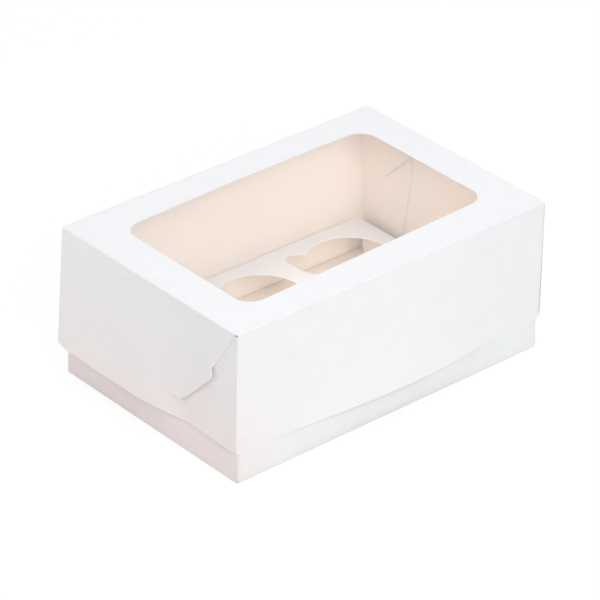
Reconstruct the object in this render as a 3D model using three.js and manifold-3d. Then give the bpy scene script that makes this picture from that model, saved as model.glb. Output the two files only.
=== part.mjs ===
// A two-piece paperboard box for six cupcakes: a deep tray, a shallower lid with a clear window that slides
// down over it, and a folded rack inside with six holes. Millimetres, +Z up, +X along the long side, and the
// origin in the middle of the tray's underside. Each board piece is cut from one flat blank and folded.
import * as THREE from 'three';
import { mergeVertices } from 'three/addons/utils/BufferGeometryUtils.js';
import Module from 'manifold-3d';

const wasm = await Module();
wasm.setup();

// Sizes of the closed box, over its folds
const boxLength = 235;
const boxWidth = 156.5;
const boxHeight = 98.4;
const trayShowing = 20.8;

// Board, its folds, and the room left between layers and between pieces
const board = 0.45;
const creaseRadius = 0.3;
const lapGap = 0.2;
const slideClearance = 0.3;
const seatClearance = 0.25;
const cutWidth = 0.5;

// Window in the lid's top, and the film glued behind it
const windowLength = 187;
const windowWidth = 113;
const windowRadius = 11;
const film = 0.2;
const filmMargin = 9;
const glueGap = 0.05;

// Corner lock: distances in from the corner, and up from the wall's free edge or down from its fold
const tipIn = 19.5;
const tipUp = 43;
const tipHeight = 4;
const slitElbowIn = 46.3;
const slitUp = 14;
const slitReach = 66;
const cheekIn = 7.6;
const cheekDrop = 8;
const shoulderIn = 14.4;
const shoulderDrop = 21;
const flapReach = 45.5;
const flapTopIn = 34;
const flapRounding = 20;
const flapRelief = 2.2;
const innerLipIn = 12;

// Hem relief where an end wall stops at a plain corner
const hemReliefLength = 8;
const hemReliefHeight = 3;

// How the made-up walls stand: the lid's long walls belly out at the hem, its end walls spring out towards
// their plain corner, and the tray's end walls lean in under the lid
const lidBow = 6.6;
const lidBowShift = 8;
const lidSpring = 5;
const springFull = 92;
const trayLeanIn = 4;
const trayFlapStandOff = 1.4;

// Rack: deck height, length, legs and holes
const deckHeight = 24;
const rackLength = 214;
const legInset = 4;
const legTaper = 2.5;
const holeRadius = 27.5;
const holePitchX = 71.3;
const holePitchY = 77;
const holeColumns = 3;
const holeRows = 2;

// Finger notch of a hole: where it leaves the round, in degrees, and how far out and up it reaches
const notchFrom = 127.5;
const notchTo = 177.5;
const notchReach = 32;
const notchRise = 36;

// Spacing of the bending lines in each blank, and of the points round a curve, in degrees
const cellsAlong = 14;
const cellsAcross = 10;
const cellsDown = 6;
const cellsInCrease = 3;
const arcStep = 22.5;

// Sizes that follow from the ones above
const layer = board + lapGap;
const creaseArc = (Math.PI / 2) * (creaseRadius + board / 2);
const creaseReach = creaseRadius + board;
const trayLength = boxLength - 2 * (layer + board + slideClearance);
const trayWidth = boxWidth - 2 * (board + slideClearance);
const trayHeight = boxHeight - board - seatClearance;
const rackWidth = trayWidth - 2 * (board + slideClearance);
const rackFoot = board + seatClearance;

const { degToRad, smoothstep, clamp } = THREE.MathUtils;
const spaced = (from, to, cells) => Array.from({ length: cells + 1 }, (_, i) => from + ((to - from) * i) / cells);

// A closed solid for cutting. Each pair of triangles is a face of its own, so that a cut keeps the points
// where it crosses a bending line.
function solid(geometry) {
  geometry.deleteAttribute('normal');
  geometry.deleteAttribute('uv');
  const merged = mergeVertices(geometry, 1e-4);
  const vertProperties = new Float32Array(merged.attributes.position.array);
  const triVerts = new Uint32Array(merged.index.array);
  const faceID = Uint32Array.from({ length: triVerts.length / 3 }, (_, triangle) => Math.floor(triangle / 2));
  return new wasm.Manifold(new wasm.Mesh({ numProp: 3, vertProperties, triVerts, faceID }));
}

// The points of a closed outline through corners [x, y, radius], each rounded by its radius
function rounded(corners) {
  return corners.flatMap(([x, y, radius = 0], i) => {
    const corner = new THREE.Vector2(x, y);
    if (radius === 0) return [corner];
    const next = corners[(i + 1) % corners.length];
    const toBefore = new THREE.Vector2(...corners.at(i - 1).slice(0, 2)).sub(corner).normalize();
    const toNext = new THREE.Vector2(...next.slice(0, 2)).sub(corner).normalize();
    const halfAngle = Math.acos(clamp(toBefore.dot(toNext), -1, 1)) / 2;
    const towards = toBefore.clone().add(toNext).setLength(radius / Math.sin(halfAngle));
    const centre = corner.clone().add(towards);
    const start = toBefore.multiplyScalar(radius / Math.tan(halfAngle)).add(corner).sub(centre);
    const end = toNext.multiplyScalar(radius / Math.tan(halfAngle)).add(corner).sub(centre);
    const clockwise = start.cross(end) < 0;
    const steps = Math.ceil((Math.PI - 2 * halfAngle) / degToRad(arcStep));
    const arc = new THREE.EllipseCurve(x, y, radius, radius, start.angle(), end.angle(), clockwise);
    arc.aX = centre.x;
    arc.aY = centre.y;
    return arc.getPoints(Math.max(steps, 1));
  });
}

// Bending lines from one free edge to the other: both walls, both creases and the flat part between
function bendingLines(creaseAt, depth, cells) {
  const wallStart = creaseAt + creaseArc;
  const half = [
    ...spaced(0, creaseAt, cells / 2),
    ...spaced(creaseAt, wallStart, cellsInCrease).slice(1),
    ...spaced(wallStart, wallStart + depth, cellsDown).slice(1),
  ];
  return [...half.slice(1).map((s) => -s).reverse(), ...half];
}

// A blank: flat board from z = 0 inside to z = board outside, with points on every bending line, cut to the
// outline and holes of its die
function dieCut(linesX, linesY, points, holes) {
  const cellsX = linesX.length - 1;
  const cellsY = linesY.length - 1;
  const sheet = new THREE.BoxGeometry(1, 1, board, cellsX, cellsY, 1);
  const at = sheet.attributes.position;
  for (let i = 0; i < at.count; i += 1) {
    const column = Math.round((at.getX(i) + 0.5) * cellsX);
    const row = Math.round((at.getY(i) + 0.5) * cellsY);
    at.setXYZ(i, linesX[column], linesY[row], at.getZ(i) + board / 2);
  }
  const shape = new THREE.Shape(points);
  shape.holes = holes.map((hole) => new THREE.Path(hole));
  const die = new THREE.ExtrudeGeometry(shape, { depth: 3 * board, bevelEnabled: false });
  die.translate(0, 0, -board);
  return solid(sheet).intersect(solid(die));
}

// A point s along the sheet and w above its inner face, once the sheet is turned down past a crease: the
// first number is how far out it lies, the second how far below the outer face of the flat part
function crease(s, w, creaseAt) {
  const radius = creaseRadius + w;
  if (s <= creaseAt) return [s, board - w];
  const turn = Math.min((s - creaseAt) / creaseArc, 1) * (Math.PI / 2);
  const beyond = Math.max(s - creaseAt - creaseArc, 0);
  return [creaseAt + radius * Math.sin(turn), creaseReach - radius * Math.cos(turn) + beyond];
}

// The blank with every point moved by fold, which gives x, y and the depth below the flat part's outer face.
// The flat part lies on top at faceHeight, or at the bottom where faceUp is false.
function folded(name, blank, material, faceHeight, faceUp, fold) {
  const { vertProperties, triVerts } = blank.getMesh();
  const points = new Float32Array(vertProperties.length);
  for (let i = 0; i < points.length; i += 3) {
    const [x, y, depth] = fold(vertProperties[i], vertProperties[i + 1], vertProperties[i + 2]);
    points.set([x, y, faceUp ? faceHeight - depth : faceHeight + depth], i);
  }
  const triangles = Array.from(triVerts);
  for (let i = 0; i < triangles.length && !faceUp; i += 3) {
    [triangles[i + 1], triangles[i + 2]] = [triangles[i + 2], triangles[i + 1]];
  }
  const geometry = new THREE.BufferGeometry();
  geometry.setAttribute('position', new THREE.BufferAttribute(points, 3));
  geometry.setIndex(triangles);
  geometry.computeVertexNormals();
  const mesh = new THREE.Mesh(geometry, material);
  mesh.name = name;
  return mesh;
}

// A lid or tray. At the front left and back right corners the end wall's tab and the long wall's flap lock
// through a slit; at the other two the flap is tucked behind the end wall. Every wall is height tall.
function lockedTray({ name, material, length, width, height, faceHeight, faceUp, holes, stand }) {
  const creaseX = length / 2 - creaseReach;
  const creaseY = width / 2 - creaseReach;
  const wall = height - creaseReach;
  const farX = creaseX + creaseArc + wall;
  const farY = creaseY + creaseArc + wall;
  const foldUp = wall + creaseArc;
  const lipUp = tipUp - tipHeight;

  // Places in the blank by their distance in from the corner and up from the free edge
  const onEnd = (inward, up, radius) => [farX - up, width / 2 - inward, radius];
  const onFlap = (inward, up, radius) => [creaseX + creaseArc + inward - creaseReach, farY - up, radius];

  const lockedEnd = [
    onEnd(innerLipIn, 0, 3),
    onEnd(innerLipIn, lipUp - tipHeight, 4),
    onEnd(tipIn + tipHeight, lipUp - cutWidth, 1),
    onEnd(slitElbowIn, slitUp - cutWidth / 2),
    onEnd(slitReach, slitUp - cutWidth / 2),
    onEnd(slitReach, slitUp + cutWidth / 2),
    onEnd(slitElbowIn, slitUp + cutWidth / 2),
    onEnd(tipIn + tipHeight, lipUp, 2),
    onEnd(tipIn, tipUp, 1),
    onEnd(tipIn + 1.5, tipUp + tipHeight, 3),
    onEnd(shoulderIn, height - shoulderDrop, 6),
    onEnd(cheekIn, height - cheekDrop, 4),
    onEnd(creaseReach + cutWidth, foldUp),
  ];
  const lockedFlap = [
    [creaseX, creaseY],
    [creaseX, farY - height + flapRelief],
    onFlap(flapTopIn, height - 2 * flapRelief, 5),
    onFlap(flapReach, flapRounding + 8, 3),
    onFlap(flapReach, 0, flapRounding),
    onFlap(creaseReach, 0),
  ];
  const plainFlap = lockedFlap.map(([x, y, radius]) => [x, -y, radius]).reverse();
  const plainEdge = -creaseY + cutWidth;
  const plainEnd = [
    [creaseX, plainEdge],
    [farX - hemReliefHeight, plainEdge],
    [farX, plainEdge + hemReliefLength],
  ];
  const rightHalf = [...plainFlap, ...plainEnd, ...lockedEnd, ...lockedFlap];
  const leftHalf = rightHalf.map(([x, y, radius]) => [-x, -y, radius]);

  // Height of the slit at a distance in from the corner
  function slitHeight(inward) {
    const along = clamp((inward - tipIn - tipHeight) / (slitElbowIn - tipIn - tipHeight), 0, 1);
    return lipUp + (slitUp - lipUp) * along;
  }

  // How far out a flap and the tab over it lie: the flap starts tucked behind the end wall's face and
  // comes out level with it above the slit, where it passes through
  const tucked = (depth) => smoothstep(depth, 0, flapRelief);
  const released = (depth) => smoothstep(depth, flapRelief, height - tipUp - tipHeight);
  const grip = (inward) => 1 - smoothstep(inward, flapReach + 1, slitReach - 1);

  function fold(u, v, w) {
    const sideX = Math.sign(u);
    const sideY = Math.sign(v);
    if (Math.abs(v) > creaseY) {
      const [out, standIn] = crease(Math.abs(u), w, creaseX);
      const [across, depth] = crease(Math.abs(v), board - standIn, creaseY);
      const down = depth / height;
      const held = sideX === sideY ? 1 - released(depth) : 1;
      const tuck = -(layer + stand.flapStandOff) * tucked(depth) * held;
      const shift = (tuck - stand.leanIn * down) * Math.min(out / creaseX, 1);
      return [sideX * (out + shift), sideY * (across + stand.bow(u, sideY) * down), depth];
    }
    const [out, depth] = crease(Math.abs(u), w, creaseX);
    const down = depth / height;
    const inward = width / 2 - sideX * v;
    const isLip = inward < slitReach && height - depth < slitHeight(inward);
    const lap = layer * grip(inward) * (isLip ? -1 : released(depth));
    const shift = out > creaseX ? lap + (stand.spring(inward) - stand.leanIn) * down : 0;
    return [sideX * (out + shift), v, depth];
  }

  const linesX = bendingLines(creaseX, wall, cellsAlong);
  const linesY = bendingLines(creaseY, wall, cellsAcross);
  const blank = dieCut(linesX, linesY, rounded([...rightHalf, ...leftHalf]), holes);
  return folded(name, blank, material, faceHeight, faceUp, fold);
}

// Card, coated white outside and left bare inside, and clear film
const whiteCard = new THREE.MeshStandardMaterial({ color: 0xf4f3f0, roughness: 0.55, metalness: 0 });
const rackCard = new THREE.MeshStandardMaterial({ color: 0xf1ece4, roughness: 0.7, metalness: 0 });
const clearFilm = new THREE.MeshStandardMaterial({
  color: 0xf7f9fb,
  roughness: 0.08,
  metalness: 0,
  transparent: true,
  opacity: 0.18,
});

// The tray: its flat bottom stands on the table, and its walls run up to the lid's top
function makeTray() {
  return lockedTray({
    name: 'base_tray',
    material: whiteCard,
    length: trayLength,
    width: trayWidth,
    height: trayHeight,
    faceHeight: 0,
    faceUp: false,
    holes: [],
    stand: { leanIn: trayLeanIn, flapStandOff: trayFlapStandOff, bow: () => 0, spring: () => 0 },
  });
}

// The lid: its window is a plain hole with rounded corners, die-cut in the top
function makeLid() {
  const halfLength = windowLength / 2;
  const halfWidth = windowWidth / 2;
  const window = rounded([
    [-halfLength, -halfWidth, windowRadius],
    [halfLength, -halfWidth, windowRadius],
    [halfLength, halfWidth, windowRadius],
    [-halfLength, halfWidth, windowRadius],
  ]);
  const halfBow = boxLength / 2 - creaseReach;
  function bow(x, side) {
    const crest = -side * lidBowShift;
    const reach = x > crest ? halfBow - crest : halfBow + crest;
    const along = Math.min(Math.abs(x - crest) / reach, 1);
    return (lidBow * (1 + Math.cos(Math.PI * along))) / 2;
  }
  function spring(inward) {
    const along = clamp((inward - slitElbowIn) / (springFull - slitElbowIn), 0, 1);
    return lidSpring * Math.sin((Math.PI / 2) * along);
  }
  return lockedTray({
    name: 'lid',
    material: whiteCard,
    length: boxLength,
    width: boxWidth,
    height: boxHeight - trayShowing,
    faceHeight: boxHeight,
    faceUp: true,
    holes: [window],
    stand: { leanIn: 0, flapStandOff: 0, bow, spring },
  });
}

// The film: one flat clear sheet, glued by its margin to the underside of the lid's top
function makeFilm() {
  const length = windowLength + 2 * filmMargin;
  const width = windowWidth + 2 * filmMargin;
  const mesh = new THREE.Mesh(new THREE.BoxGeometry(length, width, film), clearFilm);
  mesh.position.z = boxHeight - board - glueGap - film / 2;
  mesh.name = 'window_film';
  return mesh;
}

// One hole of the rack: a round with a finger notch off its back left
function rackHole(x, y) {
  const arc = new THREE.EllipseCurve(x, y, holeRadius, holeRadius, degToRad(notchTo), degToRad(360 + notchFrom));
  const left = x - notchReach;
  const onRound = (degrees) => new THREE.Vector2(holeRadius, 0).rotateAround(new THREE.Vector2(), degToRad(degrees));
  const shoulder = new THREE.Vector2(left, y + notchRise / 2 - 2);
  const upper = new THREE.QuadraticBezierCurve(
    onRound(notchFrom).add(new THREE.Vector2(x, y)),
    new THREE.Vector2(left - 2, y + notchRise),
    shoulder,
  );
  const lower = new THREE.QuadraticBezierCurve(
    shoulder,
    new THREE.Vector2(left, y + 6),
    onRound(notchTo).add(new THREE.Vector2(x, y)),
  );
  return [...arc.getPoints(20), ...upper.getPoints(5).slice(1), ...lower.getPoints(3).slice(1, -1)];
}

// The rack: a deck with six holes on four legs, which stand on the tray's bottom and have open corners
function makeRack() {
  const height = deckHeight - rackFoot;
  const creaseX = rackLength / 2 - creaseReach;
  const creaseY = rackWidth / 2 - creaseReach;
  const leg = height - creaseReach;
  const farX = creaseX + creaseArc + leg;
  const farY = creaseY + creaseArc + leg;
  const quarter = [
    [farX, creaseY - legInset - legTaper],
    [creaseX, creaseY - legInset],
    [creaseX, creaseY, 1],
    [creaseX - legInset, creaseY],
    [creaseX - legInset - legTaper, farY],
  ];
  const mirrored = quarter.map(([x, y, radius]) => [-x, y, radius]).reverse();
  const backHalf = [...quarter, ...mirrored];
  const frontHalf = backHalf.map(([x, y, radius]) => [-x, -y, radius]);
  const holes = [];
  for (let column = 0; column < holeColumns; column += 1) {
    for (let row = 0; row < holeRows; row += 1) {
      const x = (column - (holeColumns - 1) / 2) * holePitchX;
      const y = (row - (holeRows - 1) / 2) * holePitchY;
      holes.push(rackHole(x, y));
    }
  }
  function fold(u, v, w) {
    if (Math.abs(v) > creaseY) {
      const [across, depth] = crease(Math.abs(v), w, creaseY);
      return [u, Math.sign(v) * across, depth];
    }
    const [out, depth] = crease(Math.abs(u), w, creaseX);
    return [Math.sign(u) * out, v, depth];
  }
  const flatCells = 2;
  const linesX = bendingLines(creaseX, leg, flatCells);
  const linesY = bendingLines(creaseY, leg, flatCells);
  const blank = dieCut(linesX, linesY, rounded([...backHalf, ...frontHalf]), holes);
  return folded('cupcake_rack', blank, rackCard, deckHeight, true, fold);
}

const cupcakeBox = new THREE.Group();
cupcakeBox.add(makeTray(), makeRack(), makeLid(), makeFilm());

export default cupcakeBox;
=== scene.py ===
import math

import bpy
import numpy as np
from mathutils import Matrix, Vector
from mathutils.geometry import delaunay_2d_cdt


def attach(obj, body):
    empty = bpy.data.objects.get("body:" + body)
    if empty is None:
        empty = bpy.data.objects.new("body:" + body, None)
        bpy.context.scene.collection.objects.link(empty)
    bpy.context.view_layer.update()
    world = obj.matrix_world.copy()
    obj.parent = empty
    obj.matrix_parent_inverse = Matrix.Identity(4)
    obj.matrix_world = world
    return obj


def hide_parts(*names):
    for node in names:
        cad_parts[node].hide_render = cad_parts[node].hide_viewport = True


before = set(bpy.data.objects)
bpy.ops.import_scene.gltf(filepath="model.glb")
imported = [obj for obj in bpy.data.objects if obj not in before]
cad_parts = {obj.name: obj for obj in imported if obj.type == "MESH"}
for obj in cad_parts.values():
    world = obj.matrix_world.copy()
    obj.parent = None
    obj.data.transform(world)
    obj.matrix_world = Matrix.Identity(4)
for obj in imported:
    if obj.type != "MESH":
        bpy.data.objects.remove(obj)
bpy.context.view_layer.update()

# Tray
# The lower half of the box, one blank of white board: a flat bottom and four walls as tall as the box.
# At the front left and back right corners its end wall's tab and its long wall's flap hold each other
# through a slit; at the other two corners the flap is tucked in loose. Lengths are in millimetres.
MM = 0.001
BOX_LENGTH, BOX_WIDTH, BOX_HEIGHT = 235.0, 156.5, 98.4
BOARD = 0.45
CREASE_RADIUS = 0.3
LAP_GAP = 0.2
SLIDE_CLEARANCE, SEAT_CLEARANCE = 0.3, 0.25
CUT_WIDTH = 0.5
FOLD_SHADE_WIDTH = 0.6
CELL, BESIDE_CREASE, CREASE_LINES = 4.0, 0.5, 7
SAME_POINT = 1e-5
LAYER = BOARD + LAP_GAP
CREASE_ARC = math.pi / 2 * (CREASE_RADIUS + BOARD / 2)
CREASE_REACH = CREASE_RADIUS + BOARD

# A corner's lock: distances in from the corner and up from the hem, and how far its two edges stand off
TIP_IN, TIP_UP, TIP_HEIGHT, TIP_FOOT = 18.4, 43.5, 4.0, 2.6
TIP_ROUNDING, ELBOW_ROUNDING, CORNER_ROUNDING = 2.5, 8.0, 3.0
SLIT_ELBOW_IN, SLIT_UP, SLIT_REACH = 45.6, 14.6, 66.0
FLAP_REACH, FLAP_TOP_IN, FLAP_ROUNDING, FLAP_RELIEF = 45.5, 34.0, 20.0, 1.2
LIP_IN, LIP_LIFT_IN, LIP_LIFT_FULL, LIP_LIFT_REACH = 12.0, 36.0, 2.0, 14.0
TAB_LIFT_HEIGHT, TAB_LIFT_FULL_IN, TAB_LIFT_END_IN = 15.0, 34.0, 60.0
HEM_RELIEF_LENGTH, HEM_RELIEF_HEIGHT = 7.0, 1.8
EDGE_MARGIN, PLAIN_EDGE_IN = 0.1, 0.6

TRAY_LENGTH = BOX_LENGTH - 2 * (LAYER + BOARD + SLIDE_CLEARANCE)
TRAY_WIDTH = BOX_WIDTH - 2 * (BOARD + SLIDE_CLEARANCE)
TRAY_HEIGHT = BOX_HEIGHT - BOARD - SEAT_CLEARANCE
TRAY_LEAN_IN, TRAY_FLAP_STAND_OFF = 4.0, -0.17
TRAY_CHEEK = [(2.2, 23.0, 8.0), (0.1, 10.0, 20.0), (0.1, 2.0, 0.0)]


def smooth(value, start, end):
    """0 before start, 1 after end, and a soft step between them."""
    t = np.clip((value - start) / (end - start), 0, 1)
    return t * t * (3 - 2 * t)


def rounded(corners, arc_step=10):
    """The points of a closed outline through corners (x, y, radius), each rounded by its radius."""
    points = []
    for i, (x, y, radius) in enumerate(corners):
        corner = Vector((x, y))
        if radius == 0:
            points.append(corner)
            continue
        before = (Vector(corners[i - 1][:2]) - corner).normalized()
        after = (Vector(corners[(i + 1) % len(corners)][:2]) - corner).normalized()
        half = before.angle(after) / 2
        centre = corner + (before + after).normalized() * (radius / math.sin(half))
        start = corner + before * (radius / math.tan(half)) - centre
        sweep = start.angle_signed(corner + after * (radius / math.tan(half)) - centre)
        steps = max(math.ceil(abs(math.degrees(sweep)) / arc_step), 1)
        for step in range(steps + 1):
            points.append(centre + Matrix.Rotation(-sweep * step / steps, 2) @ start)
    return points


def bending_lines(crease_at, wall):
    """Lines across a blank from free edge to free edge, close together in and beside each crease."""
    wall_start = crease_at + CREASE_ARC
    flat = np.linspace(0, crease_at - BESIDE_CREASE, round(crease_at / CELL) + 1)
    turn = np.linspace(crease_at, wall_start, CREASE_LINES)
    down = np.linspace(wall_start + BESIDE_CREASE, wall_start + wall, round(wall / CELL) + 1)
    half = np.concatenate([flat, turn, down])
    return np.concatenate([-half[:0:-1], half])


def cut_blank(outline, holes, lines_x, lines_y):
    """Points and triangles of a flat blank, with edges on every bending line and on the die's cut."""
    points, edges = [], []
    for loop in [outline, *holes]:
        first, count = len(points), len(loop)
        points += [Vector(p) for p in loop]
        edges += [(first + i, first + (i + 1) % count) for i in range(count)]
    cut = [(points[a], points[b]) for a, b in edges]
    far_x, far_y = lines_x[-1] + 1, lines_y[-1] + 1
    bends = [((x, -far_y), (x, far_y)) for x in lines_x]
    bends += [((-far_x, y), (far_x, y)) for y in lines_y]
    for ends in bends:
        edges.append((len(points), len(points) + 1))
        points += [Vector(end) for end in ends]
    found, _, triangles, *_ = delaunay_2d_cdt(points, edges, [], 0, SAME_POINT)
    flat = np.array([p[:] for p in found])
    triangles = np.array([t for t in triangles if len(t) == 3])
    centre = flat[triangles].mean(1)
    inside = np.zeros(len(triangles), bool)
    for a, b in cut:
        if a.y != b.y:
            crosses = (a.y > centre[:, 1]) != (b.y > centre[:, 1])
            at = a.x + (centre[:, 1] - a.y) * (b.x - a.x) / (b.y - a.y)
            inside ^= crosses & (centre[:, 0] < at)
    triangles = triangles[inside]
    (ax, ay), (bx, by), (cx, cy) = (flat[triangles[:, i]].T for i in range(3))
    turned = (bx - ax) * (cy - ay) < (by - ay) * (cx - ax)
    triangles[turned] = triangles[turned][:, ::-1]
    used, triangles = np.unique(triangles, return_inverse=True)
    return flat[used], triangles.reshape(-1, 3)


def crease(s, w, crease_at):
    """How far out, and how far below the flat part's outer face, a point lies that is s along the
    sheet and w above its inner face, once the sheet is turned down past the crease."""
    radius = CREASE_RADIUS + w
    turn = np.clip((s - crease_at) / CREASE_ARC, 0, 1) * math.pi / 2
    beyond = np.maximum(s - crease_at - CREASE_ARC, 0)
    out = np.where(s <= crease_at, s, crease_at + radius * np.sin(turn))
    return out, np.where(s <= crease_at, BOARD - w, CREASE_REACH - radius * np.cos(turn) + beyond)


def cut_rim(faces, count):
    """The quads that close a sheet along its free edges. The points of its lower face follow the count
    points of its upper face, in the same order."""
    corners = faces.shape[1]
    edges = np.concatenate([faces[:, [i, (i + 1) % corners]] for i in range(corners)]).tolist()
    inner_edges = {(b, a) for a, b in edges}
    return [(b, a, a + count, b + count) for a, b in edges if (a, b) not in inner_edges]


def board_piece(name, blank, creases, fold, z_of_depth, materials, body, stands_for):
    """The folded blank as a closed mesh of outer face, inner face and cut edge, riding on its body.
    Its fold_painted_shade attribute, which places painted shade, is 1 along a fold's middle and 0 a little
    way off it."""
    flat, triangles = blank
    count = len(flat)
    sides = []
    for w in (BOARD, 0.0):
        x, y, depth = fold(flat[:, 0], flat[:, 1], np.full(count, w))
        sides.append(np.stack([x, y, z_of_depth(depth)], 1))
    rim = cut_rim(triangles, count)
    faces = triangles.tolist() + (triangles[:, ::-1] + count).tolist() + rim
    face_up = z_of_depth(1.0) < z_of_depth(0.0)
    if not face_up:
        faces = [face[::-1] for face in faces]
    mesh = bpy.data.meshes.new(name)
    mesh.from_pydata((np.concatenate(sides) * MM).tolist(), [], faces)
    for material in materials:
        mesh.materials.append(material)
    kind = np.repeat([0, 1, 2], [len(triangles), len(triangles), len(rim)])
    mesh.polygons.foreach_set("material_index", kind.astype(np.int32))
    mesh.polygons.foreach_set("use_smooth", np.ones(len(faces), bool))
    ends = np.zeros(2 * len(mesh.edges), np.int32)
    mesh.edges.foreach_get("vertices", ends)
    ends = ends.reshape(-1, 2)
    on_rim = {tuple(sorted(pair)) for a, b, c, d in rim for pair in ((a, b), (c, d))}
    sharp = np.array([tuple(sorted(pair)) in on_rim for pair in ends.tolist()])
    mesh.attributes.new("sharp_edge", "BOOLEAN", "EDGE").data.foreach_set("value", sharp)
    corners = np.zeros(len(mesh.loops), np.int32)
    mesh.loops.foreach_get("vertex_index", corners)
    sheet = np.tile(flat * MM, (2, 1))[corners]
    mesh.uv_layers.new(name="sheet").data.foreach_set("uv", sheet.ravel().astype(np.float32))
    # The band along each fold where the board's materials paint shade
    off_fold = np.abs(np.abs(flat) - np.array(creases) - CREASE_ARC / 2).min(1)
    fold_shade = np.tile(np.exp(-((off_fold / FOLD_SHADE_WIDTH) ** 2)), 2).astype(np.float32)
    mesh.attributes.new("fold_painted_shade", "FLOAT", "POINT").data.foreach_set("value", fold_shade)
    mesh.update()
    piece = bpy.data.objects.new(name, mesh)
    bpy.context.scene.collection.objects.link(piece)
    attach(piece, body)
    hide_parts(stands_for)


def locked_outline(length, width, height, cheek):
    """The die's outline of a tray or lid that is length by width over its folds, with walls of height.
    cheek is the end wall's edge above its tab: distance in from the corner, down from the fold, radius."""
    crease_x, crease_y = length / 2 - CREASE_REACH, width / 2 - CREASE_REACH
    wall = height - CREASE_REACH
    far_x, far_y = crease_x + CREASE_ARC + wall, crease_y + CREASE_ARC + wall
    lip_up, tip_foot_in = TIP_UP - TIP_HEIGHT, TIP_IN + TIP_FOOT

    def on_end(inward, up, radius=0.0):
        return (far_x - up, width / 2 - inward, radius)

    def on_flap(inward, up, radius=0.0):
        return (crease_x + CREASE_ARC + inward - CREASE_REACH, far_y - up, radius)

    locked_end = [
        on_end(LIP_IN, 0, CORNER_ROUNDING),
        on_end(LIP_IN, lip_up - TIP_HEIGHT, radius=4),
        on_end(tip_foot_in, lip_up - CUT_WIDTH, radius=1),
        on_end(SLIT_ELBOW_IN, SLIT_UP - CUT_WIDTH / 2, ELBOW_ROUNDING),
        on_end(SLIT_REACH, SLIT_UP - CUT_WIDTH / 4),
        on_end(SLIT_REACH, SLIT_UP),
        on_end(SLIT_ELBOW_IN, SLIT_UP + CUT_WIDTH / 4, ELBOW_ROUNDING),
        on_end(tip_foot_in, lip_up, TIP_ROUNDING),
        on_end(TIP_IN, TIP_UP, CORNER_ROUNDING),
        on_end(TIP_IN + TIP_HEIGHT / 2, TIP_UP + TIP_HEIGHT, TIP_ROUNDING),
        *(on_end(inward, height - drop, radius) for inward, drop, radius in cheek),
        on_end(CREASE_REACH + CUT_WIDTH, wall + CREASE_ARC),
    ]
    locked_flap = [
        (crease_x, crease_y, 0.0),
        (crease_x, far_y - height + FLAP_RELIEF, 0.0),
        on_flap(FLAP_TOP_IN, height - 2 * FLAP_RELIEF, radius=5),
        on_flap(FLAP_REACH, FLAP_ROUNDING + 8, CORNER_ROUNDING),
        on_flap(FLAP_REACH, 0, FLAP_ROUNDING),
        on_flap(CREASE_REACH, 0),
    ]
    plain_flap = [(x, -y, radius) for x, y, radius in locked_flap[::-1]]
    plain_edge = PLAIN_EDGE_IN - width / 2
    plain_end = [
        (crease_x, CUT_WIDTH - crease_y, 0.0),
        (crease_x + 2 * CREASE_ARC, plain_edge, 0.0),
        (far_x - HEM_RELIEF_HEIGHT, plain_edge, 1.0),
        (far_x, plain_edge + HEM_RELIEF_LENGTH, CORNER_ROUNDING),
    ]
    right_half = plain_flap + plain_end + locked_end + locked_flap
    return rounded(right_half + [(-x, -y, radius) for x, y, radius in right_half])


def locked_fold(length, width, height, stand):
    """The map from a tray's or lid's flat blank to the made-up box, as x, y and depth below its face."""
    crease_x, crease_y = length / 2 - CREASE_REACH, width / 2 - CREASE_REACH
    lip_up = TIP_UP - TIP_HEIGHT

    def fold(u, v, w):
        side_x, side_y = np.sign(u), np.sign(v)
        out, stand_in = crease(np.abs(u), w, crease_x)
        past_corner = np.abs(u) > crease_x + CREASE_ARC / 3
        is_long = np.abs(v) > np.where(past_corner, width / 2 + EDGE_MARGIN, crease_y)
        across, long_depth = crease(np.abs(v), BOARD - stand_in, crease_y)
        depth = np.where(is_long, long_depth, stand_in)
        down = depth / height
        released = smooth(depth, FLAP_RELIEF, height - TIP_UP - TIP_HEIGHT)
        held = np.where(side_x == side_y, 1 - released, 1.0)
        tuck = -(LAYER + stand["flap_stand_off"]) * smooth(depth, 0, FLAP_RELIEF) * held
        flap_shift = (tuck - stand["lean_in"] * down) * np.minimum(out / crease_x, 1)
        inward = width / 2 - side_x * v
        slit_along = (inward - TIP_IN - TIP_FOOT) / (SLIT_ELBOW_IN - TIP_IN - TIP_FOOT)
        slit_up = lip_up + (SLIT_UP - lip_up) * np.clip(slit_along, 0, 1)
        above = height - depth - slit_up
        is_lip = (inward < SLIT_REACH) & (above < 0)
        grip = 1 - smooth(inward, FLAP_REACH + 1, SLIT_REACH - 1)
        lap = LAYER * grip * np.where(is_lip, -1, released)
        over_slit = 1 - smooth(above, 0, TAB_LIFT_HEIGHT)
        under_slit = 1 - smooth(-above, 0, LIP_LIFT_REACH)
        by_lip = 1 - smooth(abs(inward - LIP_LIFT_IN), LIP_LIFT_FULL, LIP_LIFT_REACH)
        by_tab = 1 - smooth(inward, TAB_LIFT_FULL_IN, TAB_LIFT_END_IN)
        tab_lift = stand["tab_lift"] * over_slit * by_tab
        lip_lift = stand["lip_lift"] * under_slit * by_lip
        end_shift = lap + (stand["spring"](inward, side_x) - stand["lean_in"]) * down
        end_shift += np.where(is_lip, -lip_lift, tab_lift)
        shift = np.where(is_long, flap_shift, np.where(out > crease_x, end_shift, 0))
        x = side_x * (out + shift)
        y = np.where(is_long, side_y * (across + stand["bow"](u, side_y) * down), v)
        return x, y, depth + stand["sag"](x, y) * (depth <= BOARD)

    return fold


def srgb(red, green, blue):
    """A colour written as it shows on a screen, 0 to 255, as the shader takes it."""
    return (*(((c / 255 + 0.055) / 1.055) ** 2.4 for c in (red, green, blue)), 1.0)


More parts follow.
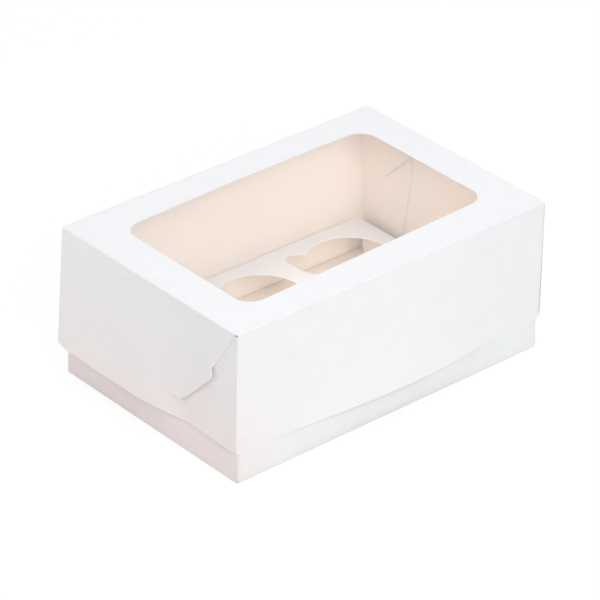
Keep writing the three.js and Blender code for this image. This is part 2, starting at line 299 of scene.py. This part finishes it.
FIBRE_DETAIL, FIBRE_CURL = 4, 0.4
PULP_SCALE, PULP_DETAIL, PULP_SHARE = 70, 3, 0.5
ROUGHNESS_SPREAD, RELIEF_SHARE = 0.06, 0.5
# The tone of the painted shade along the folds, which damps the highlight a fold catches
FOLD_PAINTED_SHADE = srgb(232, 232, 233)


def card(name, light, dark, roughness, fibre_size, fibre_stretch, relief, gloss):
    """Board's surface: long soft fibres lying with the sheet, cloudy pulp under them, a fine relief and
    painted shade along the folds.
    """
    material = bpy.data.materials.new(name)
    material.use_nodes = True
    nodes, links = material.node_tree.nodes, material.node_tree.links
    shader = nodes["Principled BSDF"]
    sheet = nodes.new("ShaderNodeUVMap")
    sheet.uv_map = "sheet"
    grain = nodes.new("ShaderNodeMapping")
    grain.inputs["Scale"].default_value = (1, fibre_stretch, 1)
    fibres = nodes.new("ShaderNodeTexNoise")
    fibres.inputs["Scale"].default_value = 1 / fibre_size
    fibres.inputs["Detail"].default_value = FIBRE_DETAIL
    fibres.inputs["Distortion"].default_value = FIBRE_CURL
    clouds = nodes.new("ShaderNodeTexNoise")
    clouds.inputs["Scale"].default_value = PULP_SCALE
    clouds.inputs["Detail"].default_value = PULP_DETAIL
    both = nodes.new("ShaderNodeMath")
    both.operation = "MULTIPLY_ADD"
    both.inputs[1].default_value = 1 - PULP_SHARE
    half_clouds = nodes.new("ShaderNodeMath")
    half_clouds.operation = "MULTIPLY"
    half_clouds.inputs[1].default_value = PULP_SHARE
    colours = nodes.new("ShaderNodeValToRGB")
    colours.color_ramp.elements[0].position = 0.3
    colours.color_ramp.elements[0].color = dark
    colours.color_ramp.elements[1].position = 0.62
    colours.color_ramp.elements[1].color = light
    rough = nodes.new("ShaderNodeMapRange")
    rough.inputs["From Min"].default_value = 0.3
    rough.inputs["From Max"].default_value = 0.7
    rough.inputs["To Min"].default_value = roughness + ROUGHNESS_SPREAD
    rough.inputs["To Max"].default_value = roughness - ROUGHNESS_SPREAD
    bump = nodes.new("ShaderNodeBump")
    bump.inputs["Strength"].default_value = RELIEF_SHARE
    bump.inputs["Distance"].default_value = relief
    links.new(sheet.outputs["UV"], grain.inputs["Vector"])
    links.new(grain.outputs["Vector"], fibres.inputs["Vector"])
    links.new(sheet.outputs["UV"], clouds.inputs["Vector"])
    links.new(clouds.outputs["Fac"], half_clouds.inputs[0])
    links.new(fibres.outputs["Fac"], both.inputs[0])
    links.new(half_clouds.outputs["Value"], both.inputs[2])
    links.new(both.outputs["Value"], colours.inputs["Fac"])
    links.new(both.outputs["Value"], rough.inputs["Value"])
    links.new(both.outputs["Value"], bump.inputs["Height"])
    # Painted shade along the folds: the fold's band, broken up by the fibres, pulls the colour to a darker
    # tone
    fold_shade_mask = nodes.new("ShaderNodeAttribute")
    fold_shade_mask.attribute_name = "fold_painted_shade"
    painted_shade_amount = nodes.new("ShaderNodeMath")
    painted_shade_amount.operation = "MULTIPLY"
    blended = nodes.new("ShaderNodeMix")
    blended.data_type = "RGBA"
    blended.inputs["B"].default_value = FOLD_PAINTED_SHADE
    links.new(fold_shade_mask.outputs["Fac"], painted_shade_amount.inputs[0])
    links.new(fibres.outputs["Fac"], painted_shade_amount.inputs[1])
    links.new(painted_shade_amount.outputs["Value"], blended.inputs["Factor"])
    links.new(colours.outputs["Color"], blended.inputs["A"])
    links.new(blended.outputs["Result"], shader.inputs["Base Color"])
    links.new(rough.outputs["Result"], shader.inputs["Roughness"])
    links.new(bump.outputs["Normal"], shader.inputs["Normal"])
    shader.inputs["Specular IOR Level"].default_value = gloss
    return material


white_finish = {
    "light": srgb(248, 249, 251),
    "dark": srgb(244, 245, 247),
    "roughness": 0.5,
    "fibre_size": 0.004,
    "fibre_stretch": 2.5,
    "relief": 0.00002,
    "gloss": 0.35,
}
coated_white = card("coated_white", **white_finish)
bare_cream = card(
    "bare_cream",
    light=srgb(250, 241, 233),
    dark=srgb(248, 237, 228),
    roughness=0.82,
    fibre_size=0.0022,
    fibre_stretch=4,
    relief=0.00005,
    gloss=0.2,
)
cut_edge = card(
    "cut_edge",
    light=srgb(252, 249, 244),
    dark=srgb(246, 240, 232),
    roughness=0.9,
    fibre_size=0.0006,
    fibre_stretch=1,
    relief=0.00008,
    gloss=0.1,
)
tray_stand = {
    "lean_in": TRAY_LEAN_IN,
    "flap_stand_off": TRAY_FLAP_STAND_OFF,
    "tab_lift": 0.0,
    "lip_lift": 1.0,
    "spring": lambda inward, side: 0 * inward,
    "bow": lambda u, side: 0 * u,
    "sag": lambda x, y: 0 * x,
}
tray_size = (TRAY_LENGTH, TRAY_WIDTH, TRAY_HEIGHT)
tray_blank = cut_blank(
    locked_outline(*tray_size, TRAY_CHEEK),
    [],
    bending_lines(TRAY_LENGTH / 2 - CREASE_REACH, TRAY_HEIGHT - CREASE_REACH),
    bending_lines(TRAY_WIDTH / 2 - CREASE_REACH, TRAY_HEIGHT - CREASE_REACH),
)
board_piece(
    "tray_board",
    tray_blank,
    (TRAY_LENGTH / 2 - CREASE_REACH, TRAY_WIDTH / 2 - CREASE_REACH),
    locked_fold(*tray_size, tray_stand),
    lambda depth: depth,
    [coated_white, bare_cream, cut_edge],
    "tray",
    "base_tray",
)

# Cupcake rack
# A deck of the same board on four folded legs, open at the corners, that stands on the tray's bottom.
# Six round holes are die-cut in it, each with a finger notch off its back left. Its smoother side is up.
DECK_HEIGHT, RACK_LENGTH = 24.0, 220.0
RACK_WIDTH = TRAY_WIDTH - 2 * (BOARD + SLIDE_CLEARANCE)
RACK_FOOT = BOARD + SEAT_CLEARANCE
LEG_INSET, LEG_TAPER = 4.0, 2.5
HOLE_RADIUS, HOLE_PITCH_X, HOLE_PITCH_Y = 27.5, 71.3, 77.0
NOTCH_FROM, NOTCH_TO, NOTCH_REACH, NOTCH_RISE = 127.5, 177.5, 32.0, 36.0
NOTCH_SHOULDER, NOTCH_LEAN, NOTCH_HEEL = 16.0, 2.0, 6.0
HOLE_POINTS = 64


def curve_points(start, control, end, count):
    """Points of a quadratic curve, without its first."""
    ts = [i / count for i in range(1, count + 1)]
    return [start * (1 - t) ** 2 + control * (2 * t * (1 - t)) + end * t * t for t in ts]


def rack_hole(x, y):
    """One hole of the rack: a round with a finger notch off its back left."""
    centre = Vector((x, y))
    angles = np.radians(np.linspace(NOTCH_TO, 360 + NOTCH_FROM, HOLE_POINTS))
    arc = [centre + Vector((math.cos(a), math.sin(a))) * HOLE_RADIUS for a in angles]
    shoulder = centre + Vector((-NOTCH_REACH, NOTCH_SHOULDER))
    peak = centre + Vector((-NOTCH_REACH - NOTCH_LEAN, NOTCH_RISE))
    heel = centre + Vector((-NOTCH_REACH, NOTCH_HEEL))
    notch = curve_points(arc[-1], peak, shoulder, count=10)
    notch += curve_points(shoulder, heel, arc[0], count=6)
    return arc + notch[:-1]


rack_crease_x, rack_crease_y = RACK_LENGTH / 2 - CREASE_REACH, RACK_WIDTH / 2 - CREASE_REACH
leg = DECK_HEIGHT - RACK_FOOT - CREASE_REACH
leg_far_x, leg_far_y = rack_crease_x + CREASE_ARC + leg, rack_crease_y + CREASE_ARC + leg
rack_quarter = [
    (leg_far_x, rack_crease_y - LEG_INSET - LEG_TAPER, 1.0),
    (rack_crease_x, rack_crease_y - LEG_INSET, 0.0),
    (rack_crease_x, rack_crease_y, 1.0),
    (rack_crease_x - LEG_INSET, rack_crease_y, 0.0),
    (rack_crease_x - LEG_INSET - LEG_TAPER, leg_far_y, 1.0),
]
back_half = rack_quarter + [(-x, y, radius) for x, y, radius in rack_quarter[::-1]]
rack_outline = rounded(back_half + [(-x, -y, radius) for x, y, radius in back_half])
rack_holes = [
    rack_hole(column * HOLE_PITCH_X, row * HOLE_PITCH_Y)
    for column in (-1, 0, 1)
    for row in (-0.5, 0.5)
]


def rack_fold(u, v, w):
    """The map from the rack's flat blank to the made-up rack."""
    out, end_depth = crease(np.abs(u), w, rack_crease_x)
    across, long_depth = crease(np.abs(v), w, rack_crease_y)
    is_long = np.abs(v) > rack_crease_y
    x = np.where(is_long, u, np.sign(u) * out)
    y = np.where(is_long, np.sign(v) * across, v)
    return x, y, np.where(is_long, long_depth, end_depth)


# The deck's upper face: a darker copy of the white board's finish, painted shade for the deck lying inside
# the box
painted_shade_deck_card = card(
    "painted_shade_deck_card",
    light=srgb(239, 238, 240),
    dark=srgb(234, 232, 233),
    roughness=0.75,
    fibre_size=0.0022,
    fibre_stretch=4,
    relief=0.00005,
    gloss=0.25,
)
rack_blank = cut_blank(
    rack_outline,
    rack_holes,
    bending_lines(rack_crease_x, leg),
    bending_lines(rack_crease_y, leg),
)
board_piece(
    "cupcake_rack_board",
    rack_blank,
    (rack_crease_x, rack_crease_y),
    rack_fold,
    lambda depth: DECK_HEIGHT - depth,
    [painted_shade_deck_card, bare_cream, cut_edge],
    "tray",
    "cupcake_rack",
)

# Nibs on the die-cut edges
# Where the die leaves a blank held to its sheet by small bridges, a torn nib of board stays on the cut
# edge. They sit round the rack's holes, and further on round the lid's window.
NIB_SIZE = (0.45, 0.45, 0.3)
RACK_NIB_SPACING, WINDOW_NIB_SPACING = 41.0, 87.0
SMALLEST_SPOT = 0.65


def spots_tree():
    """A node tree that sets rounded spots evenly along the edges of a mesh, each a little smaller by seed."""
    tree = bpy.data.node_groups.new("spots_along_edge", "GeometryNodeTree")
    tree.interface.new_socket("Edge", in_out="INPUT", socket_type="NodeSocketGeometry")
    kinds = {"Spacing": "Float", "Spot Size": "Vector", "Seed": "Int", "Finish": "Material"}
    for label, kind in kinds.items():
        tree.interface.new_socket(label, in_out="INPUT", socket_type="NodeSocket" + kind)
    tree.interface.new_socket("Spots", in_out="OUTPUT", socket_type="NodeSocketGeometry")
    given = tree.nodes.new("NodeGroupInput")
    made = tree.nodes.new("NodeGroupOutput")
    edge = tree.nodes.new("GeometryNodeMeshToCurve")
    places = tree.nodes.new("GeometryNodeCurveToPoints")
    places.mode = "LENGTH"
    ball = tree.nodes.new("GeometryNodeMeshIcoSphere")
    ball.inputs["Radius"].default_value = 0.5
    ball.inputs["Subdivisions"].default_value = 2
    chance = tree.nodes.new("FunctionNodeRandomValue")
    chance.data_type = "FLOAT"
    chance.inputs[2].default_value = SMALLEST_SPOT
    chance.inputs[3].default_value = 1.0
    size = tree.nodes.new("ShaderNodeVectorMath")
    size.operation = "SCALE"
    spots = tree.nodes.new("GeometryNodeInstanceOnPoints")
    real = tree.nodes.new("GeometryNodeRealizeInstances")
    finish = tree.nodes.new("GeometryNodeSetMaterial")
    join = tree.links.new
    join(given.outputs["Edge"], edge.inputs["Mesh"])
    join(edge.outputs["Curve"], places.inputs["Curve"])
    join(given.outputs["Spacing"], places.inputs["Length"])
    join(places.outputs["Points"], spots.inputs["Points"])
    join(ball.outputs["Mesh"], spots.inputs["Instance"])
    join(given.outputs["Seed"], chance.inputs["Seed"])
    join(given.outputs["Spot Size"], size.inputs[0])
    join(chance.outputs[1], size.inputs["Scale"])
    join(size.outputs["Vector"], spots.inputs["Scale"])
    join(spots.outputs["Instances"], real.inputs["Geometry"])
    join(real.outputs["Geometry"], finish.inputs["Geometry"])
    join(given.outputs["Finish"], finish.inputs["Material"])
    join(finish.outputs["Geometry"], made.inputs["Spots"])
    return tree


def spots_along(name, loops, spacing, spot_size, seed, material, body):
    """One piece of spots set along closed loops of points, all lengths in millimetres."""
    points, edges = [], []
    for loop in loops:
        first, count = len(points), len(loop)
        points += [tuple(c * MM for c in point) for point in loop]
        edges += [(first + i, first + (i + 1) % count) for i in range(count)]
    mesh = bpy.data.meshes.new(name + "_path")
    mesh.from_pydata(points, edges, [])
    path = bpy.data.objects.new(name + "_path", mesh)
    bpy.context.scene.collection.objects.link(path)
    maker = path.modifiers.new("spots", "NODES")
    maker.node_group = spots_node_tree
    values = {
        "Spacing": spacing * MM,
        "Spot Size": [c * MM for c in spot_size],
        "Seed": seed,
        "Finish": material,
    }
    for socket in spots_node_tree.interface.items_tree:
        if socket.in_out == "INPUT" and socket.name in values:
            maker[socket.identifier] = values[socket.name]
    graph = bpy.context.evaluated_depsgraph_get()
    spots = bpy.data.meshes.new_from_object(path.evaluated_get(graph))
    bpy.data.objects.remove(path)
    spots.polygons.foreach_set("use_smooth", np.ones(len(spots.polygons), bool))
    piece = bpy.data.objects.new(name, spots)
    bpy.context.scene.collection.objects.link(piece)
    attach(piece, body)


spots_node_tree = spots_tree()
deck_middle = DECK_HEIGHT - BOARD / 2
hole_edges = [[(p.x, p.y, deck_middle) for p in hole] for hole in rack_holes]
spots_along(
    "rack_nibs",
    hole_edges,
    RACK_NIB_SPACING,
    NIB_SIZE,
    seed=3,
    material=cut_edge,
    body="tray",
)

# Lid
# The same blank as the tray's, a little larger and shallower, with a window die-cut in its top. Springy
# board makes its long walls belly out at the hem and its end walls stand off towards their plain corners.
TRAY_SHOWING = 20.8
WINDOW_LENGTH, WINDOW_WIDTH, WINDOW_RADIUS = 187.0, 113.0, 12.0
# The window's edges from the lid's middle: the die cut them a little askew
WINDOW_LEFT, WINDOW_RIGHT, WINDOW_MIDDLE = -92.4, 94.2, 20.0
WINDOW_FRONT_LEFT, WINDOW_FRONT_RIGHT = -57.9, -51.7
WINDOW_BACK_LEFT, WINDOW_BACK_MIDDLE, WINDOW_BACK_RIGHT = 53.9, 57.8, 56.2
WINDOW_BACK_BEND = 1200.0
LID_BOW, LID_BOW_SHIFT = 6.6, 8.0
LEFT_SPRING, RIGHT_SPRING, SPRING_FULL = 5.0, 0.6, 92.0
TOP_SAG = 0.3
LID_CHEEK = [(13.4, 20.5, 8.0), (6.2, 8.0, 6.0), (2.4, 2.0, 0.0)]
lid_size = (BOX_LENGTH, BOX_WIDTH, BOX_HEIGHT - TRAY_SHOWING)
window = rounded(
    [
        (WINDOW_LEFT, WINDOW_FRONT_LEFT, WINDOW_RADIUS),
        (WINDOW_RIGHT, WINDOW_FRONT_RIGHT, WINDOW_RADIUS),
        (WINDOW_RIGHT, WINDOW_BACK_RIGHT, WINDOW_RADIUS),
        (WINDOW_MIDDLE, WINDOW_BACK_MIDDLE, WINDOW_BACK_BEND),
        (WINDOW_LEFT, WINDOW_BACK_LEFT, WINDOW_RADIUS),
    ],
    arc_step=6,
)


def belly(u, side):
    """How far a long wall of the lid stands out at its hem."""
    half = BOX_LENGTH / 2 - CREASE_REACH
    crest = -side * LID_BOW_SHIFT
    reach = np.where(u > crest, half - crest, half + crest)
    along = np.minimum(np.abs(u - crest) / reach, 1)
    return LID_BOW * (1 + np.cos(math.pi * along)) / 2


def end_spring(inward, side):
    """How far an end wall of the lid stands off at its hem, from its locked corner inward."""
    along = np.clip((inward - SLIT_ELBOW_IN) / (SPRING_FULL - SLIT_ELBOW_IN), 0, 1)
    return np.where(side < 0, LEFT_SPRING, RIGHT_SPRING) * np.sin(math.pi / 2 * along)


def top_sag(x, y):
    """How far the lid's top lies below its folds: the board gives a little round the window."""
    along = np.clip(1 - (2 * x / BOX_LENGTH) ** 2, 0, 1)
    across = np.clip(1 - (2 * y / BOX_WIDTH) ** 2, 0, 1)
    return TOP_SAG * along * across


lid_stand = {
    "lean_in": 0.0,
    "flap_stand_off": 0.0,
    "tab_lift": 1.7,
    "lip_lift": 0.0,
    "spring": end_spring,
    "bow": belly,
    "sag": top_sag,
}
lid_white = card("lid_white", **white_finish)
lid_wall = lid_size[2] - CREASE_REACH
lid_blank = cut_blank(
    locked_outline(*lid_size, LID_CHEEK),
    [window],
    bending_lines(BOX_LENGTH / 2 - CREASE_REACH, lid_wall),
    bending_lines(BOX_WIDTH / 2 - CREASE_REACH, lid_wall),
)
board_piece(
    "lid_board",
    lid_blank,
    (BOX_LENGTH / 2 - CREASE_REACH, BOX_WIDTH / 2 - CREASE_REACH),
    locked_fold(*lid_size, lid_stand),
    lambda depth: BOX_HEIGHT - depth,
    [lid_white, bare_cream, cut_edge],
    "lid",
    "lid",
)

window_edge = [(p.x, p.y, BOX_HEIGHT - BOARD / 2 - top_sag(p.x, p.y)) for p in window]
spots_along(
    "window_nibs",
    [window_edge],
    WINDOW_NIB_SPACING,
    NIB_SIZE,
    seed=5,
    material=cut_edge,
    body="lid",
)

# Window film
# One clear sheet, glued by its margin to the underside of the lid's top. It isn't drawn quite tight, so
# it ripples a little between the glued edges.
FILM, FILM_MARGIN, GLUE_GAP = 0.2, 9.0, 0.05
FILM_RIPPLE, CROSS_SHARE = 0.35, 0.6
RIPPLE_X, RIPPLE_Y = 23, 41
CROSS_X, CROSS_Y = 57, 17
film_length, film_width = WINDOW_LENGTH + 2 * FILM_MARGIN, WINDOW_WIDTH + 2 * FILM_MARGIN


def film_top(x, y):
    """Height of the film's upper face: it follows the board at its margin and ripples in the window."""
    free_x = np.clip(1 - (2 * x / WINDOW_LENGTH) ** 4, 0, 1)
    free_y = np.clip(1 - (2 * y / WINDOW_WIDTH) ** 4, 0, 1)
    ripple = np.sin(x / RIPPLE_X + y / RIPPLE_Y) + CROSS_SHARE * np.sin(y / CROSS_Y - x / CROSS_X)
    drop = free_x * free_y * FILM_RIPPLE * (1 + CROSS_SHARE + ripple)
    return BOX_HEIGHT - BOARD - GLUE_GAP - top_sag(x, y) - drop


film_cells_x, film_cells_y = 56, 36
grid_x, grid_y = np.meshgrid(
    np.linspace(-film_length / 2, film_length / 2, film_cells_x + 1),
    np.linspace(-film_width / 2, film_width / 2, film_cells_y + 1),
    indexing="ij",
)
film_points = np.stack([grid_x.ravel(), grid_y.ravel()], 1)
column = film_cells_y + 1
film_quads = [
    (i * column + j, (i + 1) * column + j, (i + 1) * column + j + 1, i * column + j + 1)
    for i in range(film_cells_x)
    for j in range(film_cells_y)
]
film_count = len(film_points)
film_side = np.array(film_quads)
film_z = film_top(film_points[:, 0], film_points[:, 1])
film_verts = np.concatenate(
    [np.column_stack([film_points, film_z]), np.column_stack([film_points, film_z - FILM])]
)
film_mesh = bpy.data.meshes.new("film_sheet")
film_faces = film_quads + (film_side[:, ::-1] + film_count).tolist() + cut_rim(film_side, film_count)
film_mesh.from_pydata((film_verts * MM).tolist(), [], film_faces)
film_mesh.polygons.foreach_set("use_smooth", np.arange(len(film_faces)) < 2 * len(film_quads))
film_mesh.update()
clear_film = bpy.data.materials.new("clear_film")
clear_film.use_nodes = True
film_nodes, film_links = clear_film.node_tree.nodes, clear_film.node_tree.links
film_shader = film_nodes["Principled BSDF"]
film_shader.inputs["Base Color"].default_value = srgb(250, 251, 252)
film_shader.inputs["Alpha"].default_value = 0.08
film_shader.inputs["Specular IOR Level"].default_value = 1.0
film_shader.inputs["Coat Weight"].default_value = 1.0
film_shader.inputs["Coat Roughness"].default_value = 0.03
film_place = film_nodes.new("ShaderNodeTexCoord")
film_haze = film_nodes.new("ShaderNodeTexNoise")
film_haze.inputs["Scale"].default_value = 25
film_smear = film_nodes.new("ShaderNodeMapRange")
film_smear.inputs["To Min"].default_value = 0.04
film_smear.inputs["To Max"].default_value = 0.14
film_links.new(film_place.outputs["Object"], film_haze.inputs["Vector"])
film_links.new(film_haze.outputs["Fac"], film_smear.inputs["Value"])
film_links.new(film_smear.outputs["Result"], film_shader.inputs["Roughness"])
film_mesh.materials.append(clear_film)
film_piece = bpy.data.objects.new("film_sheet", film_mesh)
bpy.context.scene.collection.objects.link(film_piece)
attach(film_piece, "lid")
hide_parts("window_film")

# Glue for the film
# Dabs of clear glue pressed flat between the film's margin and the board, a row all round the window.
GLUE_OFFSET, GLUE_SPACING, GLUE_STEPS = 4.5, 6.0, 24
GLUE_SIZE = (3.4, 3.4, 0.8 * GLUE_GAP)
glue_x, glue_y = WINDOW_LENGTH / 2 + GLUE_OFFSET, WINDOW_WIDTH / 2 + GLUE_OFFSET
glue_corners = [(-glue_x, -glue_y), (glue_x, -glue_y), (glue_x, glue_y), (-glue_x, glue_y)]
glue_row = []
for (x0, y0), (x1, y1) in zip(glue_corners, glue_corners[1:] + glue_corners[:1]):
    for step in range(GLUE_STEPS):
        x, y = x0 + (x1 - x0) * step / GLUE_STEPS, y0 + (y1 - y0) * step / GLUE_STEPS
        glue_row.append((x, y, BOX_HEIGHT - BOARD - GLUE_GAP / 2 - top_sag(x, y)))
clear_glue = bpy.data.materials.new("clear_glue")
clear_glue.use_nodes = True
glue_nodes, glue_links = clear_glue.node_tree.nodes, clear_glue.node_tree.links
glue_shader = glue_nodes["Principled BSDF"]
glue_shader.inputs["Alpha"].default_value = 0.5
glue_place = glue_nodes.new("ShaderNodeTexCoord")
glue_mottle = glue_nodes.new("ShaderNodeTexNoise")
glue_mottle.inputs["Scale"].default_value = 900
glue_tone = glue_nodes.new("ShaderNodeValToRGB")
glue_tone.color_ramp.elements[0].color = srgb(235, 226, 208)
glue_tone.color_ramp.elements[1].color = srgb(246, 241, 230)
glue_links.new(glue_place.outputs["Object"], glue_mottle.inputs["Vector"])
glue_links.new(glue_mottle.outputs["Fac"], glue_tone.inputs["Fac"])
glue_links.new(glue_tone.outputs["Color"], glue_shader.inputs["Base Color"])
glue_shader.inputs["Roughness"].default_value = 0.25
spots_along(
    "film_glue",
    [glue_row],
    GLUE_SPACING,
    GLUE_SIZE,
    seed=11,
    material=clear_glue,
    body="lid",
)

# Floor, light and camera
# A white sweep under plain soft light from above and in front. Three weak lamps inside the box stand for
# the light that its thin white board lets through. The camera stands off the box's front left corner with
# a long lens.
FLOOR_HALF = 30.0
FLOOR_LEFT, FLOOR_RIGHT = srgb(245, 249, 249), srgb(240, 241, 239)
FLOOR_PINK = srgb(250, 222, 214)
PINK_FROM, PINK_TO, PINK_STOPS = -0.24, -0.08, (0.35, 0.75)
SHADOW_SHARE, FLOOR_GLOW, ROOM_LIGHT = 0.12, 0.9, 0.22
floor_signs = [(-1, -1), (1, -1), (1, 1), (-1, 1)]
floor_corners = [(x * FLOOR_HALF, y * FLOOR_HALF, 0) for x, y in floor_signs]
floor_mesh = bpy.data.meshes.new("floor")
floor_mesh.from_pydata(floor_corners, [], [(0, 1, 2, 3)])
floor = bpy.data.objects.new("floor", floor_mesh)
bpy.context.scene.collection.objects.link(floor)


def seen_rays(nodes, links):
    """1 for rays that see the white of the studio: the camera's own, and those off gloss and through film."""
    ray = nodes.new("ShaderNodeLightPath")
    strongest = ray.outputs["Is Camera Ray"]
    for kind in ("Is Glossy Ray", "Is Transmission Ray"):
        either = nodes.new("ShaderNodeMath")
        either.operation = "MAXIMUM"
        links.new(strongest, either.inputs[0])
        links.new(ray.outputs[kind], either.inputs[1])
        strongest = either.outputs["Value"]
    return strongest


floor_white = bpy.data.materials.new("floor_white")
floor_white.use_nodes = True
nodes, links = floor_white.node_tree.nodes, floor_white.node_tree.links
nodes.clear()
output = nodes.new("ShaderNodeOutputMaterial")
bounce = nodes.new("ShaderNodeBsdfDiffuse")
floor_place = nodes.new("ShaderNodeTexCoord")
apart = nodes.new("ShaderNodeSeparateXYZ")
tint = nodes.new("ShaderNodeValToRGB")
beside_left = nodes.new("ShaderNodeMapRange")
beside_left.inputs["From Min"].default_value = PINK_FROM
beside_left.inputs["From Max"].default_value = PINK_TO
tint.color_ramp.elements[0].color = FLOOR_LEFT
tint.color_ramp.elements[1].color = FLOOR_RIGHT
for stop in PINK_STOPS:
    tint.color_ramp.elements.new(stop).color = FLOOR_PINK
links.new(floor_place.outputs["Object"], apart.inputs["Vector"])
links.new(apart.outputs["X"], beside_left.inputs["Value"])
links.new(beside_left.outputs["Result"], tint.inputs["Fac"])
links.new(tint.outputs["Color"], bounce.inputs["Color"])
seen_shadow = nodes.new("ShaderNodeBsdfDiffuse")
seen_shadow.inputs["Color"].default_value = (SHADOW_SHARE, SHADOW_SHARE, SHADOW_SHARE, 1)
seen_white = nodes.new("ShaderNodeEmission")
seen_white.inputs["Strength"].default_value = FLOOR_GLOW
seen = nodes.new("ShaderNodeAddShader")
choice = nodes.new("ShaderNodeMixShader")
direct = seen_rays(nodes, links)
links.new(seen_white.outputs["Emission"], seen.inputs[0])
links.new(seen_shadow.outputs["BSDF"], seen.inputs[1])
links.new(direct, choice.inputs["Fac"])
links.new(bounce.outputs["BSDF"], choice.inputs[1])
links.new(seen.outputs["Shader"], choice.inputs[2])
links.new(choice.outputs["Shader"], output.inputs["Surface"])
floor_mesh.materials.append(floor_white)

room = bpy.data.worlds.new("room")
bpy.context.scene.world = room
room.use_nodes = True
nodes, links = room.node_tree.nodes, room.node_tree.links
background = nodes["Background"]
background.inputs["Strength"].default_value = ROOM_LIGHT
seen_room = nodes.new("ShaderNodeBackground")
seen_room.inputs["Strength"].default_value = 1.0
seen_room.inputs["Color"].default_value = (1, 1, 1, 1)
background.inputs["Color"].default_value = (1, 1, 1, 1)
choice = nodes.new("ShaderNodeMixShader")
links.new(seen_rays(nodes, links), choice.inputs["Fac"])
links.new(background.outputs["Background"], choice.inputs[1])
links.new(seen_room.outputs["Background"], choice.inputs[2])
links.new(choice.outputs["Shader"], nodes["World Output"].inputs["Surface"])


def soft_lamp(name, place, aim, size, power, colour):
    """A softbox at place that faces aim, as long and wide as size says, and isn't seen itself."""
    lamp = bpy.data.lights.new(name, "AREA")
    lamp.shape = "RECTANGLE"
    lamp.size, lamp.size_y = size
    lamp.energy = power
    lamp.color = colour
    holder = bpy.data.objects.new(name, lamp)
    bpy.context.scene.collection.objects.link(holder)
    holder.visible_camera = False
    turn = (Vector(aim) - Vector(place)).to_track_quat("-Z", "Y").to_matrix().to_4x4()
    holder.matrix_world = Matrix.Translation(place) @ turn


BOX_MIDDLE = (0, 0, 0.05)
soft_lamp(
    "overhead_softbox",
    place=(0.05, 0.05, 2.3),
    aim=BOX_MIDDLE,
    size=(1.4, 1.4),
    power=25.4,
    colour=(0.985, 0.99, 0.995),
)
soft_lamp(
    "side_softbox",
    place=(-0.65, -1.62, 1.32),
    aim=BOX_MIDDLE,
    size=(1.2, 1.2),
    power=24.5,
    colour=(0.985, 0.99, 1.0),
)
soft_lamp(
    "low_left_fill",
    place=(-0.6, 0.62, 0.07),
    aim=BOX_MIDDLE,
    size=(0.5, 0.14),
    power=1.22,
    colour=(0.98, 0.995, 0.985),
)
soft_lamp(
    "right_fill",
    place=(1.4, 0.15, 0.4),
    aim=BOX_MIDDLE,
    size=(0.8, 0.5),
    power=1.6,
    colour=(1.0, 0.995, 0.99),
)
soft_lamp(
    "window_fill",
    place=(0.004, 0.009, 0.0955),
    aim=(0.004, 0.009, 0),
    size=(0.195, 0.133),
    power=0.0272,
    colour=(1.0, 0.985, 0.97),
)
soft_lamp(
    "right_wall_fill",
    place=(0.045, -0.03, 0.055),
    aim=(0.115, -0.015, 0.06),
    size=(0.07, 0.04),
    power=0.0088,
    colour=(1.0, 0.83, 0.64),
)
soft_lamp(
    "under_deck_fill",
    place=(0.002, 0.002, 0.0012),
    aim=(0.002, 0.002, 0.1),
    size=(0.226, 0.146),
    power=0.026,
    colour=(1.0, 0.965, 0.92),
)

CAMERA_AZIMUTH, CAMERA_ELEVATION, CAMERA_ROLL = -41.25, 30.89, 0.91
CAMERA_DISTANCE, CAMERA_RIGHT, CAMERA_UP = 2.201, -0.00187, 0.03482
FOCAL_PIXELS, FRAME_PIXELS = 3719.0, 600.0
azimuth, elevation, roll = (math.radians(a) for a in (CAMERA_AZIMUTH, CAMERA_ELEVATION, CAMERA_ROLL))
back = Vector(
    (math.sin(azimuth) * math.cos(elevation), -math.cos(azimuth) * math.cos(elevation), math.sin(elevation))
)
level = Vector((math.cos(azimuth), math.sin(azimuth), 0))
upright = back.cross(level)
right = level * math.cos(roll) + upright * math.sin(roll)
up = upright * math.cos(roll) - level * math.sin(roll)
camera_data = bpy.data.cameras.new("camera")
camera_data.sensor_width = 36
camera_data.lens = FOCAL_PIXELS / FRAME_PIXELS * camera_data.sensor_width
camera_data.clip_start, camera_data.clip_end = 0.05, 200
camera = bpy.data.objects.new("camera", camera_data)
camera.matrix_world = Matrix.Translation(
    right * CAMERA_RIGHT + up * CAMERA_UP + back * CAMERA_DISTANCE
) @ Matrix([right, up, back]).transposed().to_4x4()
bpy.context.scene.collection.objects.link(camera)
bpy.context.scene.camera = camera
bpy.context.scene.view_settings.view_transform = "Standard"

bpy.context.view_layer.update()
